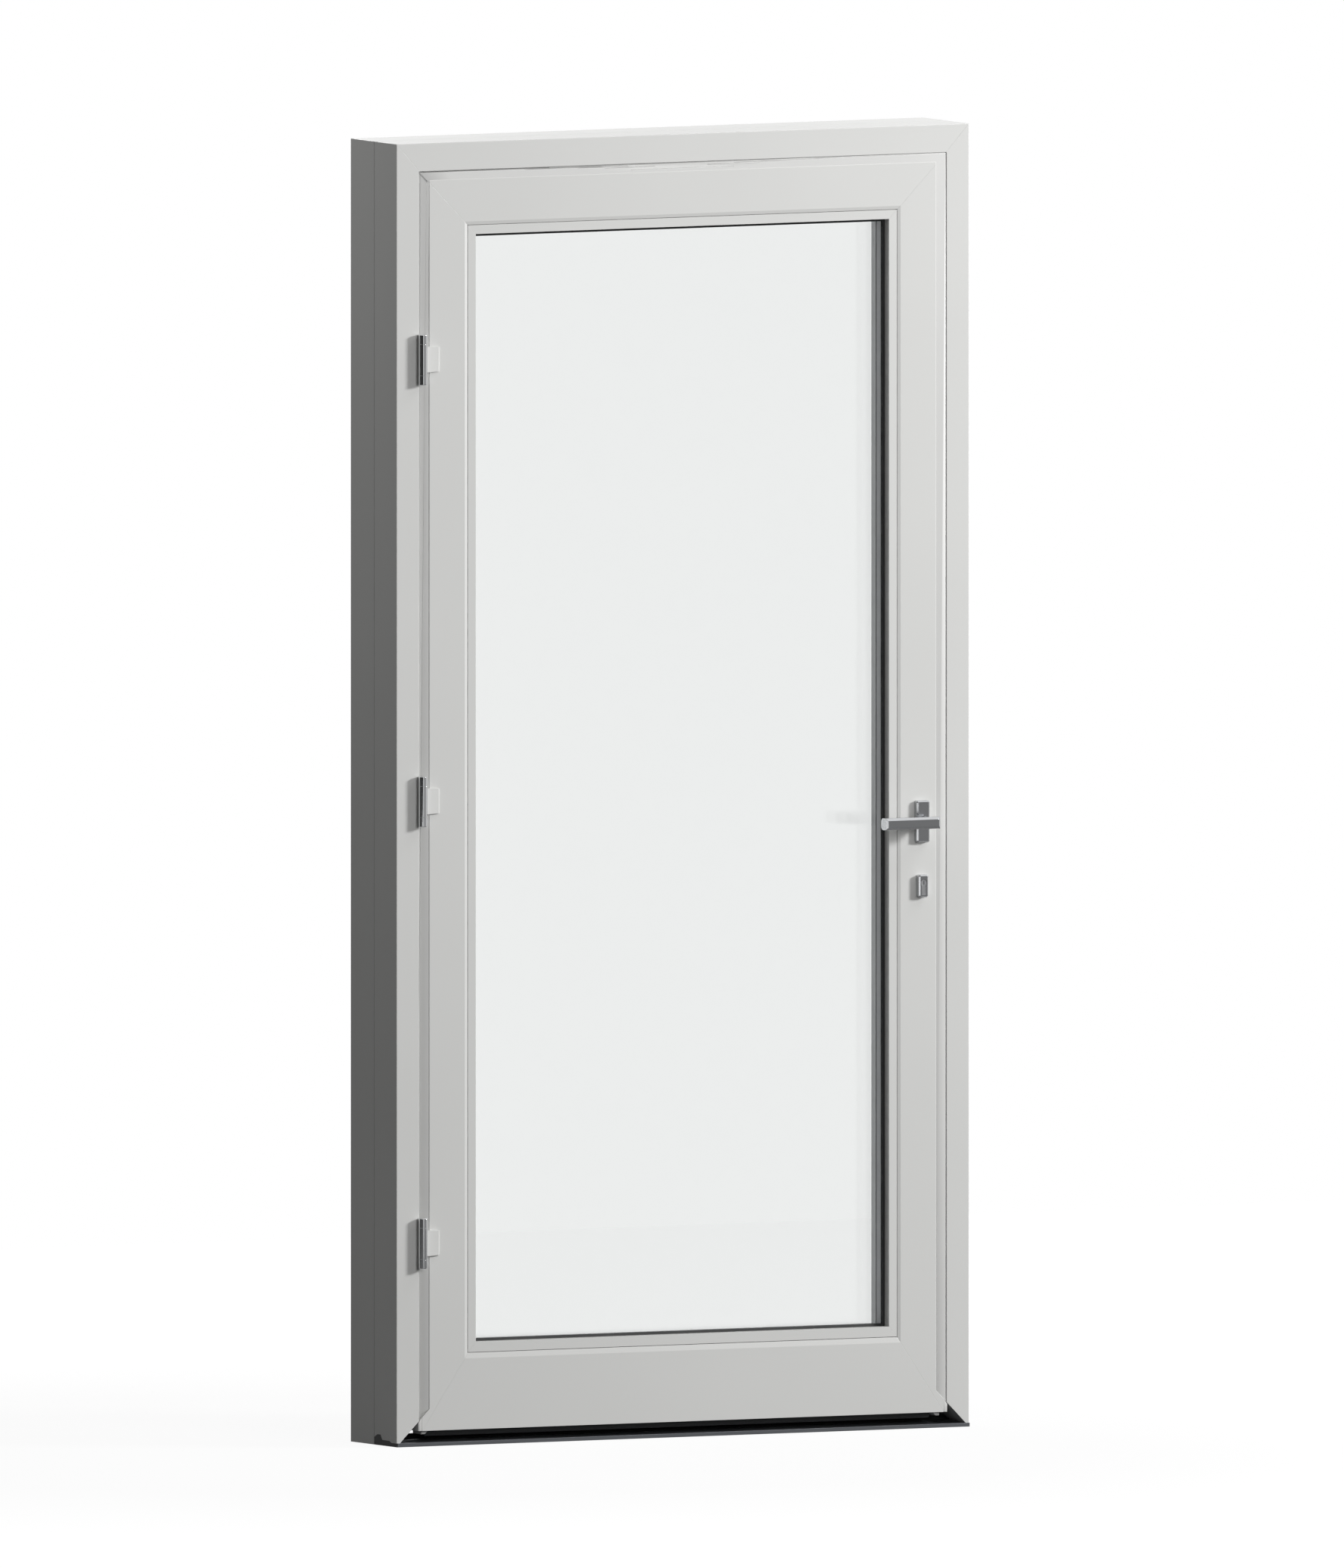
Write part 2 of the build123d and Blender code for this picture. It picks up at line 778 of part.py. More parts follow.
with BuildPart() as lever_blank:
    with BuildSketch(Plane.YZ.offset(lever_x + lever_tail - lever_length)):
        bar_front = -frame_depth - lever_stand_off
        with Locations((bar_front + lever_size / 2, lever_height)):
            bar = Rectangle(lever_size, lever_size)
        chamfer(bar.vertices().group_by(Axis.X)[0], lever_bevel)
        fillet(bar.vertices().group_by(Axis.X)[-1], lever_back_round)
    extrude(amount=lever_length)
    ends = edges().filter_by_position(Axis.Y, bar_front, bar_front).filter_by(Axis.Z)
    chamfer(ends, lever_end_bevel)
    with BuildSketch(layer(-lever_stand_off + lever_size / 2)):
        with Locations((lever_x, lever_height)):
            Circle(neck_radius)
    extrude(amount=-(lever_stand_off - lever_size / 2 - rosette_thickness + neck_engagement))
neck_end = rosette_thickness - neck_engagement
with BuildPart() as room_lever:
    add(lever_blank.part)
    with BuildSketch(layer(-neck_end)):
        with Locations((lever_x, lever_height)):
            Rectangle(spindle_size, spindle_size)
    extrude(amount=spindle_grip, mode=Mode.SUBTRACT)
with BuildPart() as outer_lever:
    mirror(lever_blank.part, about=leaf_middle)
    with BuildSketch(layer(-neck_end - spindle_grip)):
        with Locations((lever_x, lever_height)):
            Rectangle(spindle_size, spindle_size)
    extrude(amount=-(leaf_thickness + 2 * neck_end + spindle_grip))
save(room_lever, "room_lever")
save(outer_lever, "outer_lever")
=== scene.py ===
# %% [markdown]
# # A glazed front door in its frame
#
# The construction of this door is finished before the scene starts: every stile, rail, pane and
# hinge arrives as a solid of its own, at its real size. What is left is what a painter, a glazier
# and a photographer would add: the finishes, a few soft seals and screws, and the studio.
# Everything is in metres. X runs along the door from the hinge side, Y runs away from the room,
# and Z runs up from the floor.

# %% Load the finished construction
import math

import bpy
from mathutils import Matrix, Vector


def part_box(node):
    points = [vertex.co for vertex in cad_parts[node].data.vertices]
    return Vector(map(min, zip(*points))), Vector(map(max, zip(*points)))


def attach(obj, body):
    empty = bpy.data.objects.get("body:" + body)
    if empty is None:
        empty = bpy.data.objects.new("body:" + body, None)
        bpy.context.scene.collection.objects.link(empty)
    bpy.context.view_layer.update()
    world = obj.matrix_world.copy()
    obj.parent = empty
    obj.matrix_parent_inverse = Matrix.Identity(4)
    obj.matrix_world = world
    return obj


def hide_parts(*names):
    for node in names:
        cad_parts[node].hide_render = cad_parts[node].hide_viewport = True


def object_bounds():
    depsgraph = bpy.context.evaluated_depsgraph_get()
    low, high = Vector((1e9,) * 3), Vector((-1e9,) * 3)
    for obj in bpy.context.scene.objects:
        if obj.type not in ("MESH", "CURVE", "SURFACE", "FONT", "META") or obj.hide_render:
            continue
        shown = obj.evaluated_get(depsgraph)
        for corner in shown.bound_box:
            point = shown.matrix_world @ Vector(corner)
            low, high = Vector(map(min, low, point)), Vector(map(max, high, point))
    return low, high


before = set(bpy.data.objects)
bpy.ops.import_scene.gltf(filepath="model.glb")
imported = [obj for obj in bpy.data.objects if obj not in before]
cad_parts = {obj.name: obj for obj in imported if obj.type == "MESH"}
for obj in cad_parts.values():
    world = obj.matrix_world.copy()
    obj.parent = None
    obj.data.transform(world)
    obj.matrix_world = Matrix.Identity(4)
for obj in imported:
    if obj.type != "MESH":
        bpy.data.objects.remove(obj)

cad_low, cad_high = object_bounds()
door_width = cad_high.x - cad_low.x
door_height = cad_high.z - cad_low.z
print(f"door: {door_width:.3f} m wide and {door_height:.3f} m tall, {len(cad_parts)} pieces")

# %% [markdown]
# ## The camera
#
# The door is seen without perspective, as in a catalogue: upright edges stay parallel, and one
# millimetre is as long at the back of the frame as at its front. An orthographic camera does
# that. Its place along the line of sight doesn't matter, only its two angles, the size of a
# pixel, and one known point. The point used here is the bottom corner of the frame, on the room
# side and at the hinges.

# %% Aim the camera
camera_azimuth = math.radians(-28.0)
camera_elevation = math.radians(3.95)
picture_size = (1776, 2072)
corner_pixel = (524.0, 1912.6)
pixels_per_metre = 784.5
camera_distance = 8.0

jamb_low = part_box("hinge_jamb")[0]
corner = Vector((jamb_low.x, jamb_low.y, cad_low.z))
back = Vector((
    math.sin(camera_azimuth) * math.cos(camera_elevation),
    -math.cos(camera_azimuth) * math.cos(camera_elevation),
    math.sin(camera_elevation),
))
right = Vector((math.cos(camera_azimuth), math.sin(camera_azimuth), 0))
up = back.cross(right)
across = (picture_size[0] / 2 - corner_pixel[0]) / pixels_per_metre
above = (corner_pixel[1] - picture_size[1] / 2) / pixels_per_metre

camera_data = bpy.data.cameras.new("catalogue_camera")
camera_data.type = "ORTHO"
camera_data.sensor_fit = "VERTICAL"
camera_data.ortho_scale = picture_size[1] / pixels_per_metre
camera_data.clip_end = 60
camera = bpy.data.objects.new("catalogue_camera", camera_data)
bpy.context.collection.objects.link(camera)
camera.matrix_world = Matrix((right, up, back)).transposed().to_4x4()
camera.location = corner + across * right + above * up + camera_distance * back
bpy.context.scene.camera = camera
print("camera looks from", [round(value, 3) for value in camera.location])

# %% [markdown]
# ## Writing finishes as sums
#
# A finish is a graph of nodes, and long graphs are hard to read in code. Two small helpers keep
# them short. `Value` wraps the output of a node, so that `0.3 + 0.1 * grain` adds the Math nodes
# by itself. `Nodes` has one method that makes any other node: it takes the node's type, its
# settings, and what goes into its sockets.

# %% A value that can be added and multiplied
class Value:
    """The output of a node. Arithmetic on it adds Math nodes to the same graph."""

    def __init__(self, tree, output):
        self.tree = tree
        self.output = output

    def math(self, operation, *operands):
        node = self.tree.nodes.new("ShaderNodeMath")
        node.operation = operation
        for socket, operand in zip(node.inputs, operands):
            plug(self.tree, socket, operand)
        return Value(self.tree, node.outputs[0])

    def __add__(self, other):
        return self.math("ADD", self, other)

    def __sub__(self, other):
        return self.math("SUBTRACT", self, other)

    def __rsub__(self, other):
        return self.math("SUBTRACT", other, self)

    def __mul__(self, other):
        return self.math("MULTIPLY", self, other)

    __radd__ = __add__
    __rmul__ = __mul__

    def clamped(self):
        """The value kept between 0 and 1."""
        capped = self.math("MINIMUM", self, 1.0)
        return self.math("MAXIMUM", capped, 0.0)


def plug(tree, socket, value):
    """Link a node's output to a socket, or set the socket to a constant."""
    if isinstance(value, Value):
        tree.links.new(value.output, socket)
    else:
        socket.default_value = value


# %% A graph of nodes
class Nodes:
    """The node graph of one material or of the world."""

    def __init__(self, tree):
        self.tree = tree
        self.tree.nodes.clear()

    def add(self, kind, settings=None, inputs=None, output=0):
        node = self.tree.nodes.new(kind)
        for name, setting in (settings or {}).items():
            if name == "stops":
                set_stops(node.color_ramp, setting)
            else:
                setattr(node, name, setting)
        for name, value in (inputs or {}).items():
            plug(self.tree, node.inputs[name], value)
        return Value(self.tree, node.outputs[output]) if node.outputs else None


def set_stops(ramp, stops):
    """Grey levels along a colour ramp, as pairs of place and level."""
    while len(ramp.elements) < len(stops):
        ramp.elements.new(1.0)
    for element, (place, level) in zip(ramp.elements, stops):
        element.position = place
        element.color = (level, level, level, 1)


def new_finish(name):
    """An empty material and its graph."""
    material = bpy.data.materials.new(name)
    material.use_nodes = True
    return material, Nodes(material.node_tree)


def surface(nodes, shader):
    """End a graph in its surface output."""
    nodes.add("ShaderNodeOutputMaterial", inputs={"Surface": shader})


# %% [markdown]
# ## Patterns that the finishes share
#
# All patterns are read from Object coordinates, which are metres on the door, so a grain of half
# a millimetre is the same on a long stile and on a small bracket. Sharp edges are the mark of a
# computer model: on the real door each arris is rounded a little by sanding and by the film of
# paint. The Bevel node bends the shading across an edge, and catches the thin line of light that
# runs along every arris.

# %% Noise, softened edges and fine relief
def place_on_door(nodes):
    return nodes.add("ShaderNodeTexCoord", output="Object")


def noise(nodes, where, per_metre, detail=2.0, roughness=0.5):
    """Soft random pattern between 0 and 1, with about so many patches in a metre."""
    return nodes.add(
        "ShaderNodeTexNoise",
        inputs={"Vector": where, "Scale": per_metre, "Detail": detail, "Roughness": roughness},
    )


def stretched(nodes, where, scale):
    """Coordinates drawn out along one axis, for brushed metal."""
    return nodes.add("ShaderNodeMapping", inputs={"Vector": where, "Scale": scale})


def soft_edges(nodes, radius):
    return nodes.add("ShaderNodeBevel", {"samples": 6}, {"Radius": radius})


def relief(nodes, height, depth, strength, normal):
    """A bump of the given depth in metres, on top of the softened edges."""
    return nodes.add(
        "ShaderNodeBump",
        inputs={"Height": height, "Distance": depth, "Strength": strength, "Normal": normal},
    )


def blend_colours(nodes, factor, first, second):
    """Two colours mixed by a pattern."""
    return nodes.add(
        "ShaderNodeMix", {"data_type": "RGBA"}, {0: factor, 6: first, 7: second}, output=2
    )


# %% [markdown]
# ## Satin paint
#
# The frame, the leaf, the beads and the hinge brackets share one light grey spray paint. A
# sprayed film is never quite even: it has a faint orange peel a few millimetres across, and its
# sheen drifts slowly over the surface. Both are weak, because the real door looks almost plain.

# %% The paint
def satin_paint():
    material, nodes = new_finish("satin_paint")
    where = place_on_door(nodes)
    drift = noise(nodes, where, 2.5, detail=3.0)
    peel = noise(nodes, where, 380.0, detail=1.0)
    colour = blend_colours(nodes, drift, (0.575, 0.577, 0.565, 1), (0.605, 0.606, 0.594, 1))
    shader = nodes.add(
        "ShaderNodeBsdfPrincipled",
        inputs={
            "Base Color": colour,
            "Roughness": 0.27 + 0.08 * drift,
            "IOR": 1.5,
            "Normal": relief(nodes, peel, 0.00006, 0.25, soft_edges(nodes, 0.0008)),
        },
    )
    surface(nodes, shader)
    return material


# %% [markdown]
# ## Metals
#
# Three metals show. The threshold's tread is anodised aluminium, brushed along its length. The
# hinge barrels are polished. The lever, the rosettes and the escutcheons are satin chrome: their
# faces reflect the studio as soft dark and light fields. The last two, and the brushed steel of
# the plates and screws, are one recipe with another colour, roughness and direction of grain.

# %% One recipe for the metals
def metal(name, colour, roughness, spread, grain_scale, edge_radius):
    material, nodes = new_finish(name)
    where = stretched(nodes, place_on_door(nodes), grain_scale)
    grain = noise(nodes, where, 1.0, detail=3.0)
    shader = nodes.add(
        "ShaderNodeBsdfPrincipled",
        inputs={
            "Base Color": (*colour, 1),
            "Metallic": 1.0,
            "Roughness": (roughness - spread / 2) + spread * grain,
            "Normal": relief(nodes, grain, 0.00002, 0.2, soft_edges(nodes, edge_radius)),
        },
    )
    surface(nodes, shader)
    return material


# %% [markdown]
# The tread of the threshold has a black plastic cap on each end, flush with its profile. It is
# too thin to be a piece of its own, so the finish changes there: a mask made from the X
# coordinate is 1 within a millimetre of either end and 0 between.

# %% The capped tread
def capped_aluminium(first_end, last_end, cap):
    material, nodes = new_finish("capped_aluminium")
    where = place_on_door(nodes)
    grain = noise(nodes, stretched(nodes, where, (4, 900, 900)), 1.0, detail=3.0)
    along = nodes.add("ShaderNodeSeparateXYZ", inputs={"Vector": where}, output="X")
    at_first = along.math("LESS_THAN", along, first_end + cap)
    at_last = along.math("GREATER_THAN", along, last_end - cap)
    mask = at_first + at_last
    streaks = blend_colours(nodes, grain, (0.19, 0.20, 0.215, 1), (0.23, 0.24, 0.255, 1))
    shader = nodes.add(
        "ShaderNodeBsdfPrincipled",
        inputs={
            "Base Color": blend_colours(nodes, mask, streaks, (0.014, 0.014, 0.014, 1)),
            "Metallic": 1.0 - mask,
            "Roughness": 0.3 + 0.12 * grain,
            "Normal": relief(nodes, grain, 0.00002, 0.2, soft_edges(nodes, 0.0006)),
        },
    )
    surface(nodes, shader)
    return material


# %% [markdown]
# ## Plastics and rubber
#
# The black upstand, the rubber gaskets and the light grey end blocks are moulded or extruded.
# They differ in colour, in sheen and in how fine their grain is.

# %% One recipe for the plastics
def moulded(name, colour, lighter, roughness, grain_per_metre):
    material, nodes = new_finish(name)
    where = place_on_door(nodes)
    grain = noise(nodes, where, grain_per_metre, detail=2.0)
    cloud = noise(nodes, where, 12.0)
    shader = nodes.add(
        "ShaderNodeBsdfPrincipled",
        inputs={
            "Base Color": blend_colours(nodes, cloud, (*colour, 1), (*lighter, 1)),
            "Roughness": roughness + 0.1 * grain,
            "Normal": relief(nodes, grain, 0.00005, 0.35, soft_edges(nodes, 0.0005)),
        },
    )
    surface(nodes, shader)
    return material


# %% [markdown]
# ## Glass
#
# Each of the three panes is real clear glass with two surfaces, so the unit loses a little light
# at six surfaces and gains a faint reflection of the room. The glass has the very weak tint of
# common float glass. A slight waviness keeps the reflections from being perfect.

# %% The panes
def clear_glass():
    material, nodes = new_finish("clear_glass")
    wave = noise(nodes, place_on_door(nodes), 3.0)
    flat = nodes.add("ShaderNodeNewGeometry", output="Normal")
    shader = nodes.add(
        "ShaderNodeBsdfPrincipled",
        inputs={
            "Base Color": (0.952, 0.957, 0.955, 1),
            "Roughness": 0.0,
            "IOR": 1.45,
            "Transmission Weight": 1.0,
            "Normal": relief(nodes, wave, 0.00002, 0.05, flat),
        },
    )
    surface(nodes, shader)
    return material


# %% [markdown]
# ## Spacer bars
#
# Two satin grey bars keep the panes apart and show as the lines behind the edge of the glass.
# Such a bar is perforated, so that the drying agent in it can breathe. The holes are half a
# millimetre across, and too fine for geometry, so they are dimples in the finish. Each hole is
# also painted darker: painted shade for the hollow behind it.

# %% The spacer bars
def spacer_bar():
    material, nodes = new_finish("spacer_bar")
    where = place_on_door(nodes)
    holes = nodes.add(
        "ShaderNodeTexVoronoi",
        inputs={"Vector": where, "Scale": 250.0, "Randomness": 0.0},
    )
    # In the holes this mask is 0. The darker first colour there is painted shade, not a colour of
    # the bar.
    rim = nodes.add("ShaderNodeValToRGB", {"stops": [(0.08, 0.0), (0.16, 1.0)]}, {"Fac": holes})
    shader = nodes.add(
        "ShaderNodeBsdfPrincipled",
        inputs={
            "Base Color": blend_colours(nodes, rim, (0.25, 0.26, 0.265, 1), (0.53, 0.54, 0.55, 1)),
            "Metallic": 0.35,
            "Roughness": 0.5,
            "Normal": relief(nodes, rim, 0.0002, 0.3, soft_edges(nodes, 0.0005)),
        },
    )
    surface(nodes, shader)
    return material


# %% Mix all finishes
finishes = {
    "paint": satin_paint(),
    "aluminium": capped_aluminium(cad_low.x, cad_high.x, 0.001),
    "black": moulded("black_profile", (0.010, 0.011, 0.011), (0.014, 0.015, 0.015), 0.38, 900.0),
    "rubber": moulded("black_rubber", (0.018, 0.019, 0.019), (0.024, 0.025, 0.025), 0.55, 700.0),
    "light_plastic": moulded("light_plastic", (0.56, 0.56, 0.55), (0.59, 0.59, 0.58), 0.4, 500.0),
    "glass": clear_glass(),
    "spacer": spacer_bar(),
    "polished": metal("polished_steel", (0.68, 0.69, 0.70), 0.10, 0.04, (300, 300, 300), 0.0003),
    "satin": metal("satin_chrome", (0.60, 0.61, 0.625), 0.17, 0.06, (500, 500, 500), 0.0009),
    "brushed": metal("brushed_steel", (0.55, 0.56, 0.57), 0.3, 0.1, (900, 900, 6), 0.0004),
}
print("finishes:", ", ".join(finishes))

# %% [markdown]
# ## Dressing the pieces
#
# Each piece of the construction gets its finish by what it is on the real door. A piece that no
# rule names is painted.

# %% Give every piece its finish
finish_by_word = {
    "tread": "aluminium",
    "upstand": "black",
    "gasket": "rubber",
    "frame_seal": "rubber",
    "bottom_seal": "rubber",
    "block": "light_plastic",
    "pane": "glass",
    "spacer": "spacer",
    "post": "polished",
    "sleeve": "polished",
    "rosette": "satin",
    "escutcheon": "satin",
    "lever": "satin",
    "plate": "brushed",
    "cylinder": "brushed",
}


def finish_for(name):
    for word, finish in finish_by_word.items():
        if word in name:
            return finishes[finish]
    return finishes["paint"]


def dress(piece, finish):
    piece.data.materials.clear()
    piece.data.materials.append(finish)


for name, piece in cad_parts.items():
    dress(piece, finish_for(name))

# %% [markdown]
# ## Modelling by hand
#
# New pieces start from a primitive and are shaped in edit mode. Three helpers keep that short:
# one starts clean, one picks what to work on by its place, and one finishes a piece and hands it
# to the body that carries it.

# %% Helpers for modelling
smooth_angle = math.radians(35)


def start(add_primitive, name, **where):
    """Add a primitive, and bring its place into its mesh."""
    bpy.ops.object.select_all(action="DESELECT")
    add_primitive(**where)
    piece = bpy.context.active_object
    piece.name = name
    piece.data.name = name
    bpy.ops.object.transform_apply(location=True, rotation=True, scale=True)
    return piece


def pick(piece, kind, wanted):
    """Select the vertices, edges or faces that a test accepts; the piece is in edit mode."""
    bpy.ops.object.mode_set(mode="OBJECT")
    for vertex in piece.data.vertices:
        vertex.select = False
    for edge in piece.data.edges:
        edge.select = False
    for face in piece.data.polygons:
        face.select = False
    for element in getattr(piece.data, kind):
        if wanted(element):
            element.select = True
    bpy.ops.object.mode_set(mode="EDIT")


def apply_modifier(piece, kind, **settings):
    modifier = piece.modifiers.new(kind.lower(), kind)
    for name, value in settings.items():
        setattr(modifier, name, value)
    bpy.ops.object.modifier_apply(modifier=modifier.name)


def hand_over(piece, finish, body):
    """Dress a finished piece and let it ride on its body."""
    dress(piece, finishes[finish])
    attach(piece, body)


# %% [markdown]
# ## The lip seal round the leaf
#
# The leaf has to turn, so there is a gap of five millimetres round it. On the real door no dark
# line shows there: a soft light grey trim lies over the leaf's bevel at both sides and across the
# top, and its lip closes the gap. It could be a profile swept along three edges. A flat plane
# does it with fewer steps: inset, it becomes a frame with mitred corners, and without its lowest
# face the two sides end on the slope of the foot. Then the outer loop is pushed back. It is deep
# at the hinges, where the leaf turns, and nearly flush at the lock, so the top is cut into short
# lengths first and twists evenly from one to the other.

# %% Outline of the leaf and of its trim
rail_low, rail_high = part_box("bottom_rail")
leaf_left = rail_low.x
leaf_right = rail_high.x
leaf_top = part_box("hinge_stile")[1].z
leaf_foot = rail_low.z
leaf_face = rail_low.y
lip_reach = 0.005
lip_rise = 0.0046
lip_foot = 0.0435
lip_width = 0.0195
lip_inner_depth = 0.0003
lip_hinge_depth = 0.0098
lip_lock_depth = 0.0012
lip_thickness = 0.0016
lip_cuts = 19
lip_millimetres = [round(1000 * size, 1) for size in (lip_width, lip_hinge_depth, lip_lock_depth)]
print("trim: width, depth at the hinges and depth at the lock, in mm:", lip_millimetres)

# %% Model the trim
def lip_seal():
    lip_left = leaf_left - lip_reach
    lip_right = leaf_right + lip_reach
    lip_top = leaf_top + lip_rise
    band = start(
        bpy.ops.mesh.primitive_plane_add,
        "lip_seal",
        size=1,
        location=((lip_left + lip_right) / 2, leaf_face + lip_inner_depth, (lip_foot + lip_top) / 2),
        rotation=(math.pi / 2, 0, 0),
    )
    bpy.ops.object.mode_set(mode="EDIT")
    bpy.ops.mesh.select_all(action="SELECT")
    bpy.ops.transform.resize(value=(lip_right - lip_left, 1, lip_top - lip_foot))
    bpy.ops.mesh.inset(thickness=lip_width, use_even_offset=True)
    bpy.ops.mesh.delete(type="FACE")
    pick(band, "polygons", lambda face: face.center.z < lip_foot + lip_width)
    bpy.ops.mesh.delete(type="FACE")

    def spans_the_top(edge):
        first, second = (band.data.vertices[index].co.x for index in edge.vertices)
        return abs(first - second) > 0.5

    pick(band, "edges", spans_the_top)
    bpy.ops.mesh.subdivide(number_cuts=lip_cuts, quadcorner="INNERVERT")
    half_width = lip_width / 2
    step = (lip_right - lip_left) / (lip_cuts + 1)
    for column in range(lip_cuts + 2):
        middle_x = lip_left + column * step
        part = column / (lip_cuts + 1)
        depth = lip_hinge_depth + part * (lip_lock_depth - lip_hinge_depth)
        pick(
            band,
            "vertices",
            lambda vertex: abs(vertex.co.x - middle_x) < 0.001
            and (vertex.co.z > lip_top - half_width or column in (0, lip_cuts + 1)),
        )
        bpy.ops.transform.translate(value=(0, depth - lip_inner_depth, 0))
    bpy.ops.object.mode_set(mode="OBJECT")
    apply_modifier(band, "SOLIDIFY", thickness=lip_thickness, offset=-1, use_even_offset=True)
    apply_modifier(band, "BEVEL", width=0.0004, segments=2, limit_method="ANGLE")
    bpy.ops.object.shade_smooth_by_angle(angle=smooth_angle)
    return band


lip = lip_seal()
hand_over(lip, "light_plastic", "leaf")
print("lip seal:", len(lip.data.polygons), "faces")

# %% [markdown]
# ## The corner blocks at the leaf's feet
#
# Below the slope where the side bevels run out, the face of the leaf is wider and reaches past
# the opening. A moulded block, painted with the leaf, closes each corner there. Each is a box
# whose outer top edge is pulled down to stay under the sloped foot of the frame, also while the
# leaf turns. Its edges are eased.

# %% Model the two corner blocks
block_depth = 0.034
block_top = 0.0485
block_reach = 0.007
block_drop = 0.009


def corner_block(name, inner, outer):
    block = start(
        bpy.ops.mesh.primitive_cube_add,
        name,
        size=1,
        location=((inner + outer) / 2, leaf_face + block_depth / 2, (leaf_foot + block_top) / 2),
        scale=(abs(outer - inner), block_depth, block_top - leaf_foot),
    )
    bpy.ops.object.mode_set(mode="EDIT")
    middle = (inner + outer) / 2
    pick(
        block,
        "vertices",
        lambda vertex: (vertex.co.x - middle) * (outer - inner) > 0
        and vertex.co.z > (leaf_foot + block_top) / 2,
    )
    bpy.ops.transform.translate(value=(0, 0, -block_drop))
    bpy.ops.object.mode_set(mode="OBJECT")
    apply_modifier(block, "BEVEL", width=0.0006, segments=2, limit_method="ANGLE")
    bpy.ops.object.shade_smooth_by_angle(angle=smooth_angle)
    hand_over(block, "paint", "leaf")


corner_block("hinge_corner_block", leaf_left, leaf_left - block_reach)
corner_block("lock_corner_block", leaf_right, leaf_right + block_reach)

# %% [markdown]
# ## Screws
#
# Two countersunk screws hold the lock's faceplate in the leaf's edge, and two hold the strike
# plate in the frame. They only show when the door stands open. A head is a low cylinder with a
# bevelled rim. Its drive is a six-lobed star: the cap is inset, every third ring vertex is drawn
# in towards the middle, and the star is pushed down into the head.

# %% Model the screws
screw_radius = 0.0038
screw_rise = 0.0005
screw_rim = 0.0004
screw_from_end = 0.014
drive_radius = 0.0019
drive_depth = 0.0004


def screw(name, place, facing, body):
    """A screw head on a plate whose face looks along X, to one side or the other."""
    head = start(
        bpy.ops.mesh.primitive_cylinder_add,
        name,
        vertices=24,
        radius=screw_radius,
        depth=screw_rise,
        location=(place[0] + facing * screw_rise / 2, place[1], place[2]),
        rotation=(0, facing * math.pi / 2, 0),
    )
    outside = place[0] + facing * screw_rise
    bpy.ops.object.mode_set(mode="EDIT")
    pick(head, "polygons", lambda face: face.normal.x * facing > 0.9)
    bpy.ops.mesh.inset(thickness=screw_rim)
    bpy.ops.mesh.inset(thickness=screw_radius - screw_rim - drive_radius)

    def lobe_gap(vertex):
        out = Vector((vertex.co.y - place[1], vertex.co.z - place[2]))
        on_ring = abs(out.length - drive_radius) < 0.0001
        return on_ring and math.cos(6 * math.atan2(out.y, out.x)) < -0.5

    pick(head, "vertices", lobe_gap)
    bpy.ops.transform.resize(value=(1, 0.74, 0.74), center_override=(outside, place[1], place[2]))
    pick(
        head,
        "polygons",
        lambda face: abs(face.normal.x) > 0.9
        and face.center.x * facing > (outside - facing * 0.0001) * facing
        and len(face.vertices) == 24,
    )
    bpy.ops.mesh.extrude_region_move(
        TRANSFORM_OT_translate={"value": (-facing * drive_depth, 0, 0)}
    )
    bpy.ops.object.mode_set(mode="OBJECT")
    bpy.ops.object.shade_smooth_by_angle(angle=smooth_angle)
    hand_over(head, "brushed", body)


for plate, facing, body in (("lock_faceplate", 1, "leaf"), ("strike_plate", -1, "frame")):
    plate_low, plate_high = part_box(plate)
    face_x = plate_high.x if facing > 0 else plate_low.x
    middle_y = (plate_low.y + plate_high.y) / 2
    lower_place = (face_x, middle_y, plate_low.z + screw_from_end)
    upper_place = (face_x, middle_y, plate_high.z - screw_from_end)
    screw(f"{plate}_lower_screw", lower_place, facing, body)
    screw(f"{plate}_upper_screw", upper_place, facing, body)
print("screws: 4")

# %% [markdown]
# ## The knob outside
#
# Through the glass, nothing shows beside the stile where a second lever would be. So the grip
# outside is one that the stile hides: a round knob, as front doors often have. It stands for the
# outer lever of the construction, on the same axis. It is drawn out of the end of its neck, ring
# by ring, as on a lathe. The square spindle is a bar that reaches into the lever inside.

# %% Model the knob and its spindle
rosette_low, rosette_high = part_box("outer_rosette")
lever_low, lever_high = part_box("room_lever")
axis_x = (rosette_low.x + rosette_high.x) / 2
axis_z = (lever_low.z + lever_high.z) / 2
neck_start = 0.004
neck_end = 0.022
neck_radius = 0.0085
knob_rings = [(0.004, 0.0160), (0.003, 0.0192), (0.010, 0.0192), (0.003, 0.0165), (0.001, 0.009)]
spindle_size = 0.008
spindle_start = -0.102

knob = start(
    bpy.ops.mesh.primitive_cylinder_add,
    "outer_knob",
    vertices=48,
    radius=neck_radius,
    depth=neck_end - neck_start,
    location=(axis_x, (neck_start + neck_end) / 2, axis_z),
    rotation=(math.pi / 2, 0, 0),
)
bpy.ops.object.mode_set(mode="EDIT")
pick(knob, "polygons", lambda face: face.normal.y > 0.9)
radius = neck_radius
for advance, next_radius in knob_rings:
    growth = next_radius / radius
    bpy.ops.mesh.extrude_region_move(TRANSFORM_OT_translate={"value": (0, advance, 0)})
    bpy.ops.transform.resize(value=(growth, 1, growth), center_override=(axis_x, 0, axis_z))
    radius = next_radius
bpy.ops.object.mode_set(mode="OBJECT")
apply_modifier(knob, "BEVEL", width=0.0008, segments=3, limit_method="ANGLE")
bpy.ops.object.shade_smooth_by_angle(angle=math.radians(40))
hand_over(knob, "satin", "lever")
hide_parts("outer_lever")

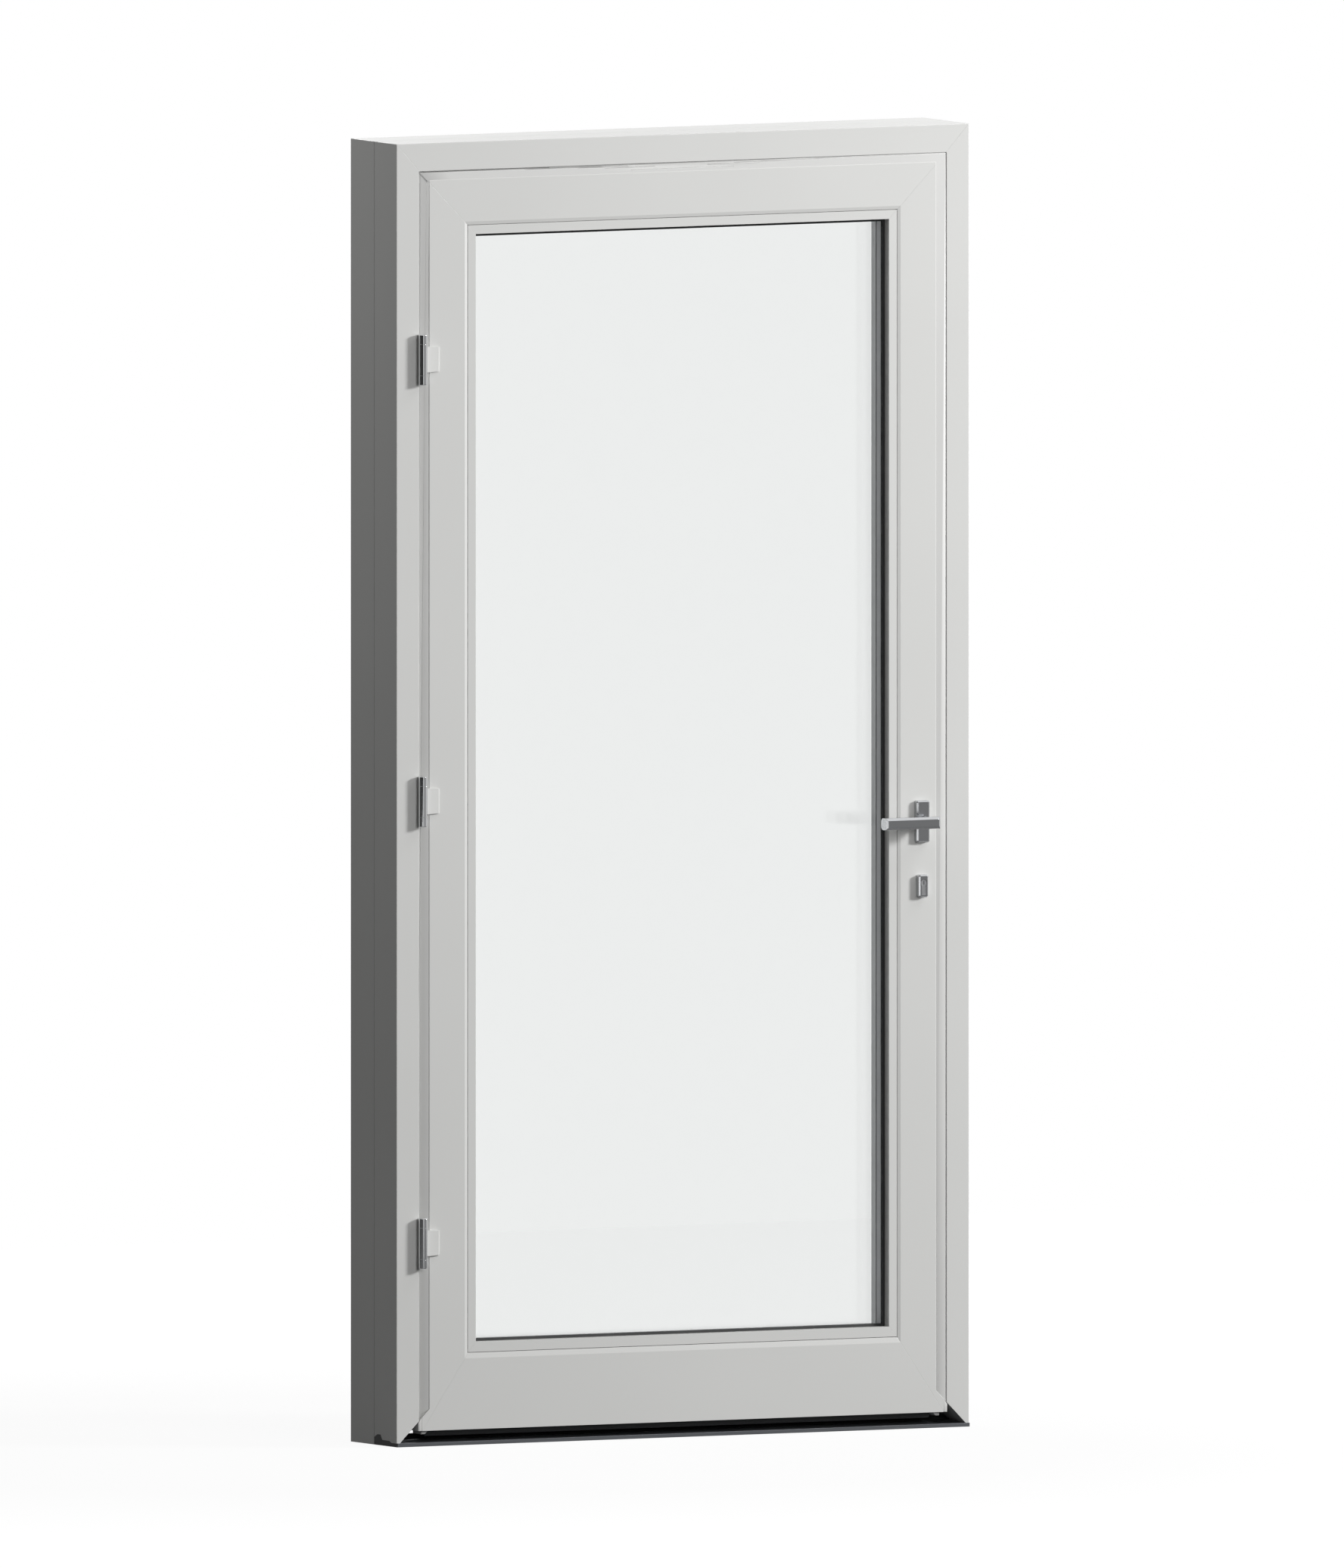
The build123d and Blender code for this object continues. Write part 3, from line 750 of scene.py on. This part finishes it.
spindle = start(
    bpy.ops.mesh.primitive_cube_add,
    "outer_spindle",
    size=1,
    location=(axis_x, (spindle_start + neck_start) / 2, axis_z),
    scale=(spindle_size, neck_start - spindle_start, spindle_size),
)
apply_modifier(spindle, "BEVEL", width=0.0005, segments=2, limit_method="ANGLE")
hand_over(spindle, "brushed", "lever")
print("knob:", len(knob.data.polygons), "faces")

# %% [markdown]
# ## The studio
#
# The catalogue picture is cut out on white, and the light on the door is soft and comes from the
# right, so that the left side of the frame lies in shadow. What the camera sees behind the door
# and through its glass is plain white, without lighting the door with it: the Light Path node
# tells the camera's own rays from the light that falls on the door. Polished parts need more
# care, because they show the studio itself. It is white behind and above the door. In front it
# is dim, darker to the left and lighter to the right, with one bright upright screen: that gives
# the round hinges their dark and light stripes.

# %% The world
room_light = 0.2
studio_front = 0.22
right_lift = 0.45
screen_lift = 0.85
screen_place = 0.08

world = bpy.data.worlds.new("studio")
world.use_nodes = True
bpy.context.scene.world = world
sky = Nodes(world.node_tree)
arriving = sky.add("ShaderNodeNewGeometry", output="Incoming")
from_x = sky.add("ShaderNodeSeparateXYZ", inputs={"Vector": arriving}, output="X")
from_y = sky.add("ShaderNodeSeparateXYZ", inputs={"Vector": arriving}, output="Y")
from_z = sky.add("ShaderNodeSeparateXYZ", inputs={"Vector": arriving}, output="Z")
behind = (from_y * -4.0).clamped() * (from_z * -20.0).clamped()
overhead = (from_z * -4.0 - 1.2).clamped()
left_part = (from_x * 2.0).clamped()
right_part = (from_x * -5.0 - 3.0).clamped()
off_screen = sky.add("ShaderNodeMath", {"operation": "ABSOLUTE"}, {0: from_x - screen_place})
screen = (1.6 - 8.0 * off_screen).clamped() * (4.0 * from_y).clamped()
white_part = (behind + overhead).clamped() * (1.0 - 0.55 * left_part)
dim_level = studio_front * (1.0 - 0.8 * left_part)
front_level = dim_level + right_lift * right_part + screen_lift * screen
mirrored_level = front_level + (1.0 - front_level) * white_part
camera_ray = sky.add("ShaderNodeLightPath", output="Is Camera Ray")
mirror_ray = sky.add("ShaderNodeLightPath", output="Is Glossy Ray")
glass_ray = sky.add("ShaderNodeLightPath", output="Is Transmission Ray")
plain_white = (camera_ray + glass_ray).clamped()
lit_level = room_light + mirror_ray * (mirrored_level - room_light)
level = lit_level + plain_white * (1.0 - lit_level)
background = sky.add("ShaderNodeBackground", inputs={"Color": (1, 1, 1, 1), "Strength": level})
sky.add("ShaderNodeOutputWorld", inputs={"Surface": background})

# %% [markdown]
# The floor is a pale sheet that isn't part of the door. To the camera it is nearly as white as
# the background, and the little light that it really scatters makes up the rest, so the door
# leaves a faint shadow on it. It fades to full white before its far edge, which never shows.

# %% The floor
floor_size = 9
floor_place = (0.5, 0, -0.0005)
floor_white = 0.93
floor_mirrored = 0.16
fade_start = 1.2
floor = start(bpy.ops.mesh.primitive_plane_add, "floor", size=floor_size, location=floor_place)
floor_finish, nodes = new_finish("floor")
where = place_on_door(nodes)
grain = noise(nodes, where, 40.0, detail=3.0)
far = nodes.add("ShaderNodeVectorMath", {"operation": "LENGTH"}, {0: where}, output="Value")
fade = ((far - fade_start) * 0.5).clamped()
camera_ray = nodes.add("ShaderNodeLightPath", output="Is Camera Ray")
mirror_ray = nodes.add("ShaderNodeLightPath", output="Is Glossy Ray")
glass_ray = nodes.add("ShaderNodeLightPath", output="Is Transmission Ray")
plain_white = (camera_ray + glass_ray).clamped()
only_mirror = mirror_ray * (1.0 - plain_white)
direct_level = camera_ray * (floor_white + (1.0 - floor_white) * fade)
white_level = direct_level + glass_ray * floor_white + only_mirror * floor_mirrored
sheet = nodes.add(
    "ShaderNodeBsdfDiffuse",
    inputs={"Color": (0.05, 0.05, 0.05, 1), "Roughness": 0.6 + 0.2 * grain},
)
glow = nodes.add(
    "ShaderNodeEmission", inputs={"Color": (1, 1, 1, 1), "Strength": white_level}
)
surface(nodes, nodes.add("ShaderNodeAddShader", inputs={0: sheet, 1: glow}))
dress(floor, floor_finish)

# %% [markdown]
# Soft lamps do the rest. The key lamp stands far to the right, and casts the shadows of the
# hinges. A wide one in front of the door fills them. One hangs above, one lights the back, and a
# small one gives the left side its fall of light from top to foot. The last is a card that only
# mirrors: it gives the left-facing bevels of the lever and the rosettes their bright lines.

# %% The lamps
def soft_lamp(name, place, target, width, height, watts):
    data = bpy.data.lights.new(name, "AREA")
    data.shape = "RECTANGLE"
    data.size = width
    data.size_y = height
    data.energy = watts
    lamp = bpy.data.objects.new(name, data)
    bpy.context.collection.objects.link(lamp)
    lamp.location = place
    toward = Vector(target) - Vector(place)
    lamp.rotation_euler = toward.to_track_quat("-Z", "Y").to_euler()
    lamp.visible_camera = False
    lamp.visible_transmission = False
    return lamp


middle = (0.546, 0, 1.1)
soft_lamp("key_lamp", (8.64, -5.52, 4.28), middle, 1.72, 1.72, 1054)
front_lamp = soft_lamp("front_lamp", (1.0, -8.7, 2.6), middle, 3.0, 3.0, 224)
front_lamp.visible_glossy = False
top_lamp = soft_lamp("overhead_lamp", (3.0, -1.0, 4.64), (3.0, -1.0, 0), 2.4, 3.2, 88)
top_lamp.visible_glossy = False
side_lamp = soft_lamp("side_lamp", (-1.2, 0.6, 3.0), (0, 0, 1.1), 0.6, 0.6, 4.6)
side_lamp.visible_glossy = False
soft_lamp("rear_lamp", (0.55, 4.3, 4.5), middle, 3.0, 2.0, 150)
card = soft_lamp("mirror_card", (-0.9, -1.3, 0.73), (0.9, -0.35, 0.78), 0.8, 0.42, 1.4)
card.visible_diffuse = False

# %% [markdown]
# ## How the picture is developed
#
# The Standard view transform shows each colour as it is written, without a film look. The rest
# stays as Blender sets it.

# %% The view transform
bpy.context.scene.view_settings.view_transform = "Standard"
